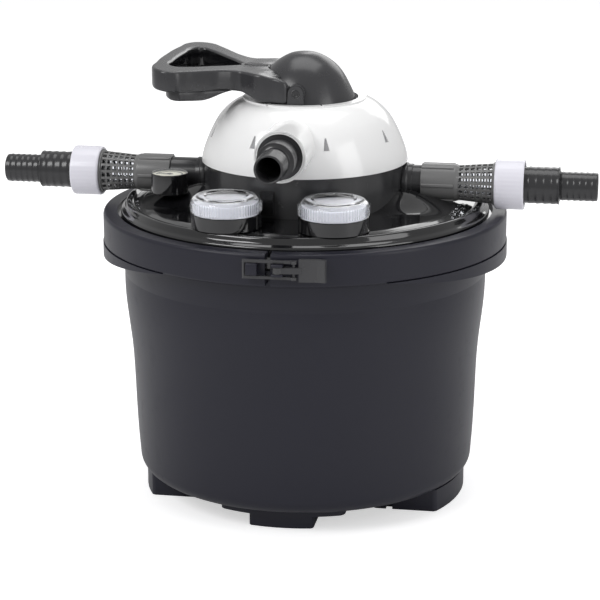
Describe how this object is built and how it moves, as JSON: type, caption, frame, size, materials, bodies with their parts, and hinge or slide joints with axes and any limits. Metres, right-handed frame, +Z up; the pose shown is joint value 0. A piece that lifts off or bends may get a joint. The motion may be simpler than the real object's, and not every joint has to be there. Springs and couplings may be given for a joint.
{
  "type": "pressurized pond filter",
  "caption": "Pressurized pond filter: round tank with clamped lid, domed valve head with a fan-shaped lever, opposed stepped hose tails, a front waste port and clear lamp caps.",
  "frame": {"origin": "on the ground, on the tank's axis, at the underside of the centre pad", "axes": "+Z up along the tank's axis, +X along the outlet pipe, -X along the inlet pipe, -Y towards the waste port and the clamp latch"},
  "size_m": [0.5637, 0.392, 0.4185],
  "materials": {
    "anthracite_plastic": "satin",
    "black_gloss": "polished",
    "dark_plastic": "satin",
    "white_plastic": "polished",
    "lilac_plastic": "satin",
    "grey_plastic": "satin",
    "clear_plastic": "polished",
    "quartz_glass": "polished",
    "lamp_glass": "polished",
    "rubber": "matte",
    "foam_coarse": "matte",
    "foam_fine": "matte",
    "steel": "satin",
    "dial_face": "satin",
    "needle_black": "satin",
    "ballast_case": "matte"
  },
  "bodies": {
    "filter": {"ballast": "ballast_case", "base_grid": "grey_plastic", "cable_gland": "dark_plastic", "centre_tube": "grey_plastic", "clamp_ring": "anthracite_plastic", "cover_screws": "steel", "dome_cover": "white_plastic", "drain_seal": "rubber", "drain_tail": "dark_plastic", "foam_ring_1": "foam_coarse", "foam_ring_2": "foam_fine", "foam_ring_3": "foam_coarse", "foam_ring_4": "foam_fine", "gauge_dial": "dial_face", "gauge_housing": "black_gloss", "gauge_lens": "clear_plastic", "head_housing": "dark_plastic", "head_seal": "rubber", "index_ring": "white_plastic", "inlet_coupling": "grey_plastic", "inlet_hose_tail": "dark_plastic", "inlet_seal": "rubber", "inlet_sight_tube": "clear_plastic", "lamp_socket_left": "dark_plastic", "lamp_socket_right": "dark_plastic", "latch_pin": "steel", "lid": "black_gloss", "lid_seal": "rubber", "outlet_coupling": "grey_plastic", "outlet_hose_tail": "dark_plastic", "outlet_seal": "rubber", "outlet_sight_tube": "clear_plastic", "quartz_sleeve_left": "quartz_glass", "quartz_sleeve_right": "quartz_glass", "return_spring": "steel", "seat_gasket": "rubber", "sleeve_seal_left": "rubber", "sleeve_seal_right": "rubber", "tank": "anthracite_plastic", "tie_rods": "steel", "top_grid": "grey_plastic", "uv_lamp_left": "lamp_glass", "uv_lamp_right": "lamp_glass", "valve_cover": "dark_plastic"},
    "turret": {"turret_cap": "anthracite_plastic", "hinge_pins": "steel"},
    "lever": {"handle_lever": "anthracite_plastic", "grip_insert": "anthracite_plastic"},
    "valve": {"spindle": "dark_plastic", "spindle_o_ring": "rubber", "valve_rotor": "dark_plastic"},
    "latch_lever": {"latch_lever": "anthracite_plastic"},
    "latch_bail": {"latch_bail": "anthracite_plastic"},
    "lock_latch": {"lock_latch": "black_gloss"},
    "cap_left": {"sight_cap_left": "clear_plastic"},
    "cap_right": {"sight_cap_right": "clear_plastic"},
    "inlet_nut": {"inlet_union_nut": "lilac_plastic"},
    "outlet_nut": {"outlet_union_nut": "lilac_plastic"},
    "needle": {"gauge_needle": "needle_black"}
  },
  "joints": [
    {"name": "turret_turn", "type": "hinge", "parent": "filter", "child": "turret", "pos_m": [0, 0, 0.374], "axis": [0, 0, -1], "range_deg": [0, 180]},
    {"name": "lever_lift", "type": "hinge", "parent": "turret", "child": "lever", "pos_m": [0, 0, 0.387], "axis": [0, 1, 0], "range_deg": [0, 75]},
    {"name": "valve_lift", "type": "slide", "parent": "turret", "child": "valve", "axis": [0, 0, 1], "range_m": [0, 0.003], "deforming": ["return_spring"]},
    {"name": "latch_open", "type": "hinge", "parent": "filter", "child": "latch_lever", "pos_m": [0.01, -0.197, 0.256], "axis": [0, 0, -1], "range_deg": [0, 110]},
    {"name": "bail_swing", "type": "hinge", "parent": "latch_lever", "child": "latch_bail", "pos_m": [0.024, -0.1955, 0.256], "axis": [0, 0, -1], "range_deg": [-110, 0]},
    {"name": "lock_slide", "type": "slide", "parent": "filter", "child": "lock_latch", "axis": [0, 0, 1], "range_m": [0, 0.006]},
    {"name": "cap_left_turn", "type": "hinge", "parent": "filter", "child": "cap_left", "pos_m": [-0.0483, -0.1304, 0.3], "axis": [0, 0, 1], "continuous": true},
    {"name": "cap_right_turn", "type": "hinge", "parent": "filter", "child": "cap_right", "pos_m": [0.0483, -0.1304, 0.3], "axis": [0, 0, 1], "continuous": true},
    {"name": "inlet_nut_turn", "type": "hinge", "parent": "filter", "child": "inlet_nut", "pos_m": [-0.21, 0, 0.2995], "axis": [-1, 0, 0], "continuous": true},
    {"name": "outlet_nut_turn", "type": "hinge", "parent": "filter", "child": "outlet_nut", "pos_m": [0.19, 0, 0.2995], "axis": [1, 0, 0], "continuous": true},
    {"name": "needle_turn", "type": "hinge", "parent": "filter", "child": "needle", "pos_m": [-0.1215, -0.039, 0.307], "axis": [0, 0, -1], "range_deg": [0, 100]}
  ],
  "couplings": [
    {"joint": "valve_lift", "follows": "lever_lift", "m_per_rad": 0.00229},
    {"joint": "bail_swing", "follows": "latch_open", "ratio": -1}
  ]
}
